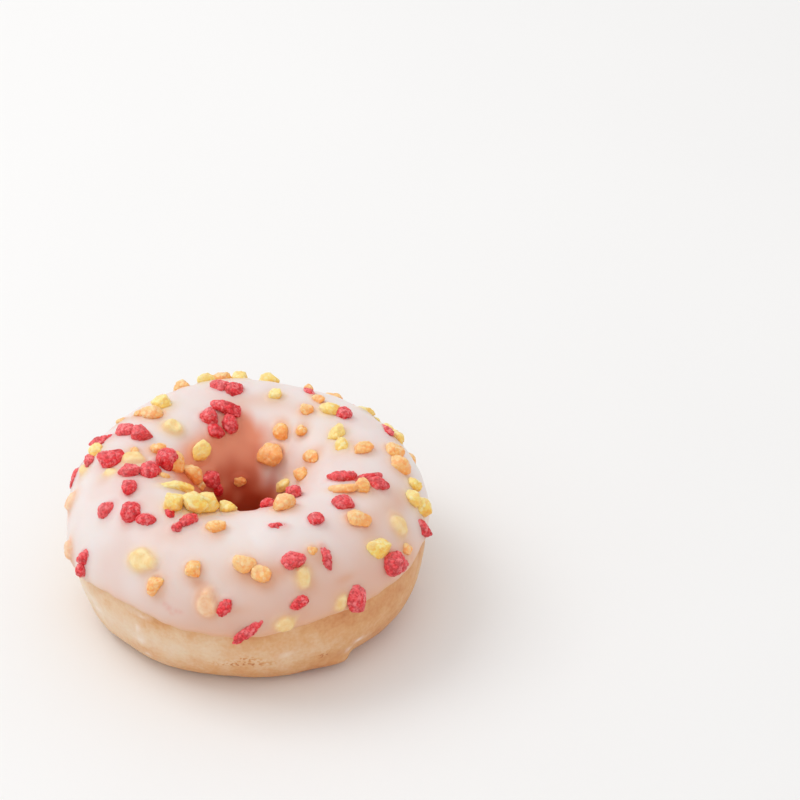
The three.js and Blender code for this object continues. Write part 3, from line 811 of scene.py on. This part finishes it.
# A crystal's size, its height, and how steeply it slants.
CRYSTALS = {"R": (0.55, 0.14, 0.4), "O": (0.6, 0.11, 0.25), "Y": (0.6, 0.12, 0.25)}
FEWEST_CRYSTALS, CRYSTAL_SCATTER = 14, 0.25
DOME_REACH, DOME_HEIGHTS, SLANT_SHARE = 0.8, (0.3, 1.0), 0.6


def chunk(rng, colour):
    """A unit chunk with random flats and rounded corners, about as bulky as the unit ball."""
    sharpness = CORNER_SHARPNESS[colour]
    facing = rng.normal(size=(FLATS, 3))
    facing /= np.linalg.norm(facing, axis=1)[:, None]
    distances = between(FLAT_DISTANCES, rng.random(FLATS))
    nearness = np.maximum(ball_points @ facing.T, 0) / distances
    reach = np.minimum((nearness**sharpness).sum(axis=1) ** (-1 / sharpness), CORNER_LIMIT[colour])
    return ball_points * (reach / reach.mean())[:, None]


def nib_mesh(nib):
    """A nib's points in place, the tone of each one's crystal, and how high it stands on that."""
    rng = np.random.default_rng(nib["seed"])
    half = np.array([nib["length"], nib["breadth"], nib["depth"]]) / 2
    size, height, tilt = CRYSTALS[nib["colour"]]
    skin = chunk(rng, nib["colour"]) * (half - height / 3)
    count = max(FEWEST_CRYSTALS, int(4 * np.pi * np.prod(half) ** (2 / 3) / size**2))
    centres = skin[rng.integers(0, len(skin), count)] + rng.normal(size=(count, 3)) * size * CRYSTAL_SCATTER
    gaps = np.linalg.norm(skin[:, None, :] - centres[None, :, :], axis=2)
    nearest = gaps.argmin(axis=1)
    dome = np.clip(1 - (gaps.min(axis=1) / (DOME_REACH * size)) ** 2, 0, 1)
    slopes = rng.normal(size=(count, 3)) * tilt
    slanted = np.clip(((skin - centres[nearest]) * slopes[nearest]).sum(axis=1), -height, height)
    outward = skin / half**2
    outward /= np.linalg.norm(outward, axis=1)[:, None]
    raised = height * dome * rng.uniform(*DOME_HEIGHTS, count)[nearest] + slanted * SLANT_SHARE
    skin += raised[:, None] * outward
    placed = nib["middle"] + skin @ np.stack([nib["long"], nib["broad"], nib["high"]])
    return placed, rng.random(count)[nearest], dome


# %% [markdown]
# All nibs of one colour become one mesh, so that one material serves them all. Four numbers go onto its
# points: the crystal's tone, the height on it, the nib's tone, and how near the point is to its side away
# from the light, where shade is painted, with painted shade and warm bounce all round on the hole's far
# wall, which faces the front.

# %% The three colours of nibs
PAINTED_SHADE_TOWARDS = np.array([0.5, -0.55, -0.67])
FAR_WALL_FACES = (0.3, 0.7)


def nib_piece(name, colour):
    """One mesh with every nib of a colour that isn't filmed, and its numbers on the points."""
    rng = np.random.default_rng(ord(colour))
    shown = [nib for nib in nibs if nib["colour"] == colour and not nib["filmed"]]
    rows = []
    for nib in shown:
        placed, tone, dome = nib_mesh(nib)
        # Painted shade: towards the side away from the light, and all round on the hole's far wall, for its
        # warm bounce light.
        far_wall = step_up(-nib["normal"][1], *FAR_WALL_FACES) * (nib["point"][1] > 0)
        side = (placed - nib["middle"]) @ PAINTED_SHADE_TOWARDS / (nib["breadth"] / 2) + far_wall
        rows.append((placed, tone, dome, np.full(len(placed), rng.random()), side))
    faces = [ball_faces + k * len(ball_points) for k in range(len(shown))]
    points, *numbers = [np.concatenate(column) for column in zip(*rows)]
    piece = mesh_piece(name, points, np.concatenate(faces))
    for kind, values in zip(("crystal_tone", "crystal_height", "nib_tone", "painted_shade_side"), numbers):
        keep_on_points(piece, kind, values)
    return piece


red_nibs, orange_nibs, yellow_nibs = [nib_piece(f"{name}_nibs", letter) for letter, name in COLOURS.items()]

# %% [markdown]
# ## Finishes
#
# A finish is a small network of nodes. It could be drawn in the shader editor, but a few helpers make it
# readable as text. They also turn a screen's colour into the linear light that Blender computes with.

# %% Tools for finishes
def linear(red, green, blue):
    """A screen colour, 0 to 255, as linear light."""
    shares = [value / 255 for value in (red, green, blue)]
    return tuple(s / 12.92 if s <= 0.04045 else ((s + 0.055) / 1.055) ** 2.4 for s in shares) + (1.0,)


def start_finish(name, roughness, glow=()):
    """A new material and its shader. A glow: how much light goes in, how far, and in which tones."""
    material = bpy.data.materials.new(name)
    material.use_nodes = True
    shader = material.node_tree.nodes["Principled BSDF"]
    shader.inputs["Roughness"].default_value = roughness
    for part, value in zip(("Weight", "Scale", "Radius"), glow):
        shader.inputs["Subsurface " + part].default_value = value
    return material, shader


def add(material, kind, inputs=None, **settings):
    """A node with its settings and inputs; an input given as a socket is linked."""
    node = material.node_tree.nodes.new(kind)
    for name, value in settings.items():
        setattr(node, name, value)
    for name, value in (inputs or {}).items():
        if isinstance(value, bpy.types.NodeSocket):
            material.node_tree.links.new(value, node.inputs[name])
        else:
            node.inputs[name].default_value = value
    return node


def stored(material, name):
    """The number kept on the mesh's points under this name."""
    return add(material, "ShaderNodeAttribute", attribute_name=name).outputs["Fac"]


def noise(material, size, detail=3.0):
    """Soft random numbers with patches of about `size` millimetres, fixed to the object."""
    place = add(material, "ShaderNodeTexCoord").outputs["Object"]
    inputs = {"Vector": place, "Scale": 0.5 / (size * MM), "Detail": detail}
    return add(material, "ShaderNodeTexNoise", inputs).outputs["Fac"]


def ranged(material, value, low, high, to_low=0.0, to_high=1.0):
    """The value stretched so that low becomes to_low and high becomes to_high, and held there."""
    inputs = {"Value": value, "From Min": low, "From Max": high, "To Min": to_low, "To Max": to_high}
    return add(material, "ShaderNodeMapRange", inputs).outputs["Result"]


def varied(material, size, to_low=0.0, to_high=1.0, detail=3.0, spread=0.15):
    """Noise stretched so that its usual spread about a half runs from to_low to to_high."""
    return ranged(material, noise(material, size, detail), 0.5 - spread, 0.5 + spread, to_low, to_high)


def blend_colours(material, share, low, high):
    """From low to high by share. Either may be a colour or a socket."""
    return add(material, "ShaderNodeMix", {0: share, 6: low, 7: high}, data_type="RGBA").outputs[2]


def tinted(material, colour, value, most, shade, start=0.0, full=1.0):
    """The colour, going over to a shade as the value goes from start to full, at most by `most`."""
    return blend_colours(material, ranged(material, value, start, full, 0.0, most), colour, shade)


def summed(material, *values):
    """The sum of these sockets."""
    total = values[0]
    for value in values[1:]:
        total = add(material, "ShaderNodeMath", {0: total, 1: value}, operation="ADD").outputs[0]
    return total


def finish_with(material, shader, colour, roughness=None, bump=None, mm=0.0, strength=0.0):
    """Links what varies over the surface to the shader; the bump is this many millimetres high."""
    links = material.node_tree.links
    links.new(colour, shader.inputs["Base Color"])
    if roughness:
        links.new(roughness, shader.inputs["Roughness"])
    if bump:
        inputs = {"Height": bump, "Distance": mm * MM, "Strength": strength}
        links.new(add(material, "ShaderNodeBump", inputs).outputs["Normal"], shader.inputs["Normal"])
    print(f"{material.name}: {len(material.node_tree.nodes)} nodes")
    return material


# %% [markdown]
# ## Fried dough
#
# The browning runs through a ramp of colours, from the pale belt over gold to the brown of the hole. Fine
# noise breaks it up, as tiny blisters do, and its peaks turn dark where the crumbs are. The smears are
# whitened last. The surface is satin with fine pores, and a little light goes into it.

# %% The dough's finish
DOUGH_ROUGH, DOUGH_GLOW = 0.55, (0.25, MM, (1.6, 0.8, 0.4))
DOUGH_RAMP = [
    (0.0, (236, 215, 191)),
    (0.28, (231, 196, 159)),
    (0.5, (222, 168, 116)),
    (0.68, (211, 143, 87)),
    (0.85, (184, 104, 58)),
    (1.0, (145, 73, 38)),
]
BLISTER_SIZE, BLISTERS_BROWN = 2.2, 0.09
PORE_SIZE, PORES_BROWN = 0.35, 0.05
CRUMB_SIZE, CRUMB_PEAKS, CRUMBS_BROWN = 0.32, (0.5, 0.62), 0.42
SMEARS_WHITE, SMEAR_COLOUR = 0.85, (250, 238, 231)


def dough_finish():
    """Golden to brown, blistered, with dark crumbs and white smears."""
    material, shader = start_finish("fried_dough", DOUGH_ROUGH, DOUGH_GLOW)
    blisters = varied(material, BLISTER_SIZE, -BLISTERS_BROWN, BLISTERS_BROWN, detail=4.0, spread=0.2)
    pores = noise(material, PORE_SIZE, 2.0)
    fine = ranged(material, pores, 0.3, 0.7, -PORES_BROWN, PORES_BROWN)
    peaks = noise(material, CRUMB_SIZE, 1.0)
    crumbs = ranged(material, peaks, *CRUMB_PEAKS, 0.0, stored(material, "crumbs"))
    browned = ranged(material, crumbs, 0.0, 1.0, 0.0, CRUMBS_BROWN)
    tone = summed(material, stored(material, "browning_and_shade"), blisters, fine, browned)
    ramp = add(material, "ShaderNodeValToRGB", {"Fac": tone})
    stops = ramp.color_ramp.elements
    for position, shade in DOUGH_RAMP[1:-1]:
        stops.new(position).color = linear(*shade)
    for end in (0, -1):
        stops[end].color = linear(*DOUGH_RAMP[end][1])
    smears = stored(material, "smears")
    colour = tinted(material, ramp.outputs["Color"], smears, SMEARS_WHITE, linear(*SMEAR_COLOUR))
    rough = varied(material, size=1.4, to_low=0.46, to_high=0.62)
    bump = summed(material, pores, crumbs)
    return finish_with(material, shader, colour, rough, bump, mm=0.14, strength=0.35)


dough.data.materials.append(dough_finish())

# %% [markdown]
# ## Icing
#
# Icing is white sugar in a little water: bright, faintly see-through and satin. The base is a cool white
# with a breath of pink, and one number after another tints it. The light that goes in spreads by about a
# millimetre, which softens each nib's shadow.

# %% The icing's finish
ICING_WHITE, ICING_PINK, PINK_SIZE = (236, 227, 224), (234, 217, 213), 6.0
ICING_ROUGH, ICING_GLOW = 0.42, (0.45, MM, (1.5, 0.9, 0.7))
FILM_GRAIN_PATCH = 0.6
# A tint: the number that it goes by, its strength, and its shade or the two that the grain mixes.
ICING_TINTS = [
    # The three halos are partly dye and partly painted glow of light through the nibs.
    ("red_halo", 0.42, (228, 127, 127)),
    ("orange_halo", 0.62, (240, 178, 127)),
    ("yellow_halo", 0.6, (242, 209, 145)),
    # The next tint is partly thin icing and partly painted shade.
    ("thin_and_shade", 0.8, (223, 164, 128)),
    ("edge", 0.9, (226, 168, 112)),
    ("orange_film", 0.85, (248, 194, 142), (255, 224, 184)),
    ("yellow_film", 0.85, (247, 210, 130), (255, 235, 176)),
    # The wall and deep tints hold painted light on the hole's right wall and painted shade at its far side.
    ("wall", 0.9, (233, 141, 99)),
    ("deep", 1.0, (199, 83, 48)),
]


def icing_finish():
    """White with a breath of pink, and every tint over it."""
    material, shader = start_finish("sugar_icing", ICING_ROUGH, ICING_GLOW)
    pinkness = varied(material, PINK_SIZE, detail=2.0)
    colour = blend_colours(material, pinkness, linear(*ICING_WHITE), linear(*ICING_PINK))
    grain = varied(material, FILM_GRAIN_PATCH, detail=2.0)
    for name, most, *shades in ICING_TINTS:
        shades = [linear(*shade) for shade in shades]
        shade = blend_colours(material, grain, *shades) if len(shades) > 1 else shades[0]
        colour = tinted(material, colour, stored(material, name), most, shade)
    rough = varied(material, size=3.0, to_low=0.36, to_high=0.5)
    bump = noise(material, size=0.5, detail=2.0)
    return finish_with(material, shader, colour, rough, bump, mm=0.02, strength=0.3)


icing.data.materials.append(icing_finish())

# %% [markdown]
# ## Sugar nibs
#
# Each crystal took up a little more or less dye, so we mix three shades by its tone, and its palest shade is
# partly painted sparkle. The seams between crystals are darkened as painted shade. The side away from the
# light is painted deeper as shade, and the lit side paler as painted light. Finer grains come from noise, as
# colour and as bump, and their light specks are partly painted sparkle. Light goes in, which makes the nibs
# glow, but not far, or neighbours would tint each other.

# %% The nibs' finishes
NIB_SHADES = {
    "red": ((188, 8, 20), (238, 36, 46), (254, 146, 148)),
    "orange": ((255, 152, 62), (255, 190, 108), (255, 224, 174)),
    "yellow": ((255, 188, 66), (255, 218, 112), (255, 242, 186)),
}
NIB_ROUGH = 0.38
NIB_GLOW = {
    "red": (0.3, 0.6 * MM, (1.0, 0.4, 0.4)),
    "orange": (0.35, 0.6 * MM, (1.0, 0.8, 0.55)),
    "yellow": (0.3, 0.6 * MM, (1.0, 0.95, 0.7)),
}
# The lit crystals are partly painted sparkle, and the darkened seams are painted shade.
CRYSTALS_LIT, SEAMS_DARK, NIBS_PALE = 0.8, 0.75, 0.25
# How strong the painted shade on the side away from the light and the painted light on the lit side are, and
# the dark and the light grains.
NIB_SIDES = {"red": (0.4, 0.25), "orange": (0.55, 0.4), "yellow": (0.5, 0.45)}
NIB_GRAIN = {"red": (0.55, 0.3), "orange": (0.2, 0.3), "yellow": (0.12, 0.25)}
GRAIN_SIZE = 0.2


def nib_finish(name):
    """One colour of sugar. A tint: its value, its strength, its shade, where it starts and is full."""
    seam, body, light = [linear(*shade) for shade in NIB_SHADES[name]]
    material, shader = start_finish(f"{name}_sugar", NIB_ROUGH, NIB_GLOW[name])
    side, grain = stored(material, "painted_shade_side"), noise(material, GRAIN_SIZE, 1.0)
    tints = [
        # The palest crystals are partly painted sparkle, and the seams are painted shade.
        (stored(material, "crystal_tone"), CRYSTALS_LIT, light, 0.5, 1.0),
        (stored(material, "crystal_height"), SEAMS_DARK, seam, 0.4, 0.0),
        (stored(material, "nib_tone"), NIBS_PALE, light, 0.35, 1.0),
        # Painted shade on the side away from the light, and painted light on the lit side.
        (side, NIB_SIDES[name][0], seam, -0.1, 0.9),
        (side, NIB_SIDES[name][1], light, 0.1, -0.9),
        (grain, NIB_GRAIN[name][0], seam, 0.46, 0.34),
        # The light grains are partly painted sparkle.
        (grain, NIB_GRAIN[name][1], light, 0.55, 0.66),
    ]
    colour = body
    for tint in tints:
        colour = tinted(material, colour, *tint)
    rough = varied(material, size=0.3, to_low=0.28, to_high=0.5, spread=0.2)
    return finish_with(material, shader, colour, rough, grain, mm=0.09, strength=0.5)


for piece, name in zip((red_nibs, orange_nibs, yellow_nibs), COLOURS.values()):
    piece.data.materials.append(nib_finish(name))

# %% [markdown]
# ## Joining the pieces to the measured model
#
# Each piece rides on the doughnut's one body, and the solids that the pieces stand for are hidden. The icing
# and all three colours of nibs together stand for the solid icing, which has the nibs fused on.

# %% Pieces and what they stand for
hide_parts("dough")
for piece in (icing, red_nibs, orange_nibs, yellow_nibs):
    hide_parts("icing")
for piece, slot in (
    (dough, "dough"),
    (icing, "icing"),
    (red_nibs, "red_nibs"),
    (orange_nibs, "orange_nibs"),
    (yellow_nibs, "yellow_nibs"),
):
    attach(piece, "root")
    print(piece.name, "is in the slot", slot)

# %% [markdown]
# ## Floor
#
# The doughnut lies on a plain pale floor, a flat sheet so large that no edge shows. It lies a hair below
# the dough's flat foot, because two faces in one plane would flicker.

# %% The floor
FLOOR_SIDE, FLOOR_LEVEL = 4.0, -0.00002  # metres
FLOOR_TONES = [(242, 241, 240), (244, 243, 242)]
FLOOR_ROUGH, FLOOR_PATCHES = 0.7, 60.0

half = FLOOR_SIDE / 2
corners = [(x * half, y * half, FLOOR_LEVEL) for x, y in ((-1, -1), (1, -1), (1, 1), (-1, 1))]
floor_mesh = bpy.data.meshes.new("floor")
floor_mesh.from_pydata(corners, [], [(0, 1, 2, 3)])
floor = bpy.data.objects.new("floor", floor_mesh)
bpy.context.scene.collection.objects.link(floor)
floor_finish, floor_shader = start_finish("pale_floor", FLOOR_ROUGH)
floor_tone = varied(floor_finish, FLOOR_PATCHES, detail=2.0, spread=0.2)
floor_colour = blend_colours(floor_finish, floor_tone, *(linear(*tone) for tone in FLOOR_TONES))
floor_mesh.materials.append(finish_with(floor_finish, floor_shader, floor_colour))

# %% [markdown]
# ## Light
#
# One big soft light stands up and to the left, a little behind, so that the front falls into gentle shade
# and each nib throws a soft short shadow to the right. A sun's shadows would be hard. White surroundings
# fill the rest.

# %% The lights
KEY_PLACE, KEY_AIM, KEY_SIZE = Vector((-0.42, 0.18, 0.62)), Vector((0, 0, 0.014)), 0.45  # metres
KEY_POWER = 1.73
WORLD_LIGHT = 0.843

light = bpy.data.lights.new("key_light", "AREA")
light.size = KEY_SIZE
light.energy = KEY_POWER
lamp = bpy.data.objects.new("key_light", light)
lamp.location = KEY_PLACE
lamp.rotation_euler = (KEY_AIM - KEY_PLACE).to_track_quat("-Z", "Y").to_euler()
bpy.context.scene.collection.objects.link(lamp)
world = bpy.data.worlds.new("white_room")
world.use_nodes = True
background = world.node_tree.nodes["Background"]
background.inputs["Color"].default_value = (1.0, 1.0, 1.0, 1.0)
background.inputs["Strength"].default_value = WORLD_LIGHT
bpy.context.scene.world = world
bpy.context.scene.view_settings.view_transform = "Standard"
print("light from", round((KEY_AIM - KEY_PLACE).length, 2), "m away")

# %% [markdown]
# ## The camera
#
# The camera looks down at the ring by 37.5 degrees from 70 cm away, found by matching the ring's outline,
# its hole and its lower edge to the picture. There the doughnut lies left of the middle and low, so the
# camera points past it. The lens is given in pixels, because a picture can tell those.

# %% The camera
CAMERA_PLACE = (0.0, -0.5553, 0.4407)  # metres
CAMERA_PITCH, CAMERA_TURN = 54.30, -2.87
FOCAL_PIXELS = 3815
PICTURE_PIXELS = 800
SENSOR = 36.0  # millimetres

camera_data = bpy.data.cameras.new("camera")
camera_data.sensor_width = SENSOR
camera_data.lens = FOCAL_PIXELS * SENSOR / PICTURE_PIXELS
camera = bpy.data.objects.new("camera", camera_data)
camera.location = CAMERA_PLACE
camera.rotation_euler = (math.radians(CAMERA_PITCH), 0, math.radians(CAMERA_TURN))
bpy.context.scene.collection.objects.link(camera)
bpy.context.scene.camera = camera
print("lens", round(camera_data.lens, 1), "mm")
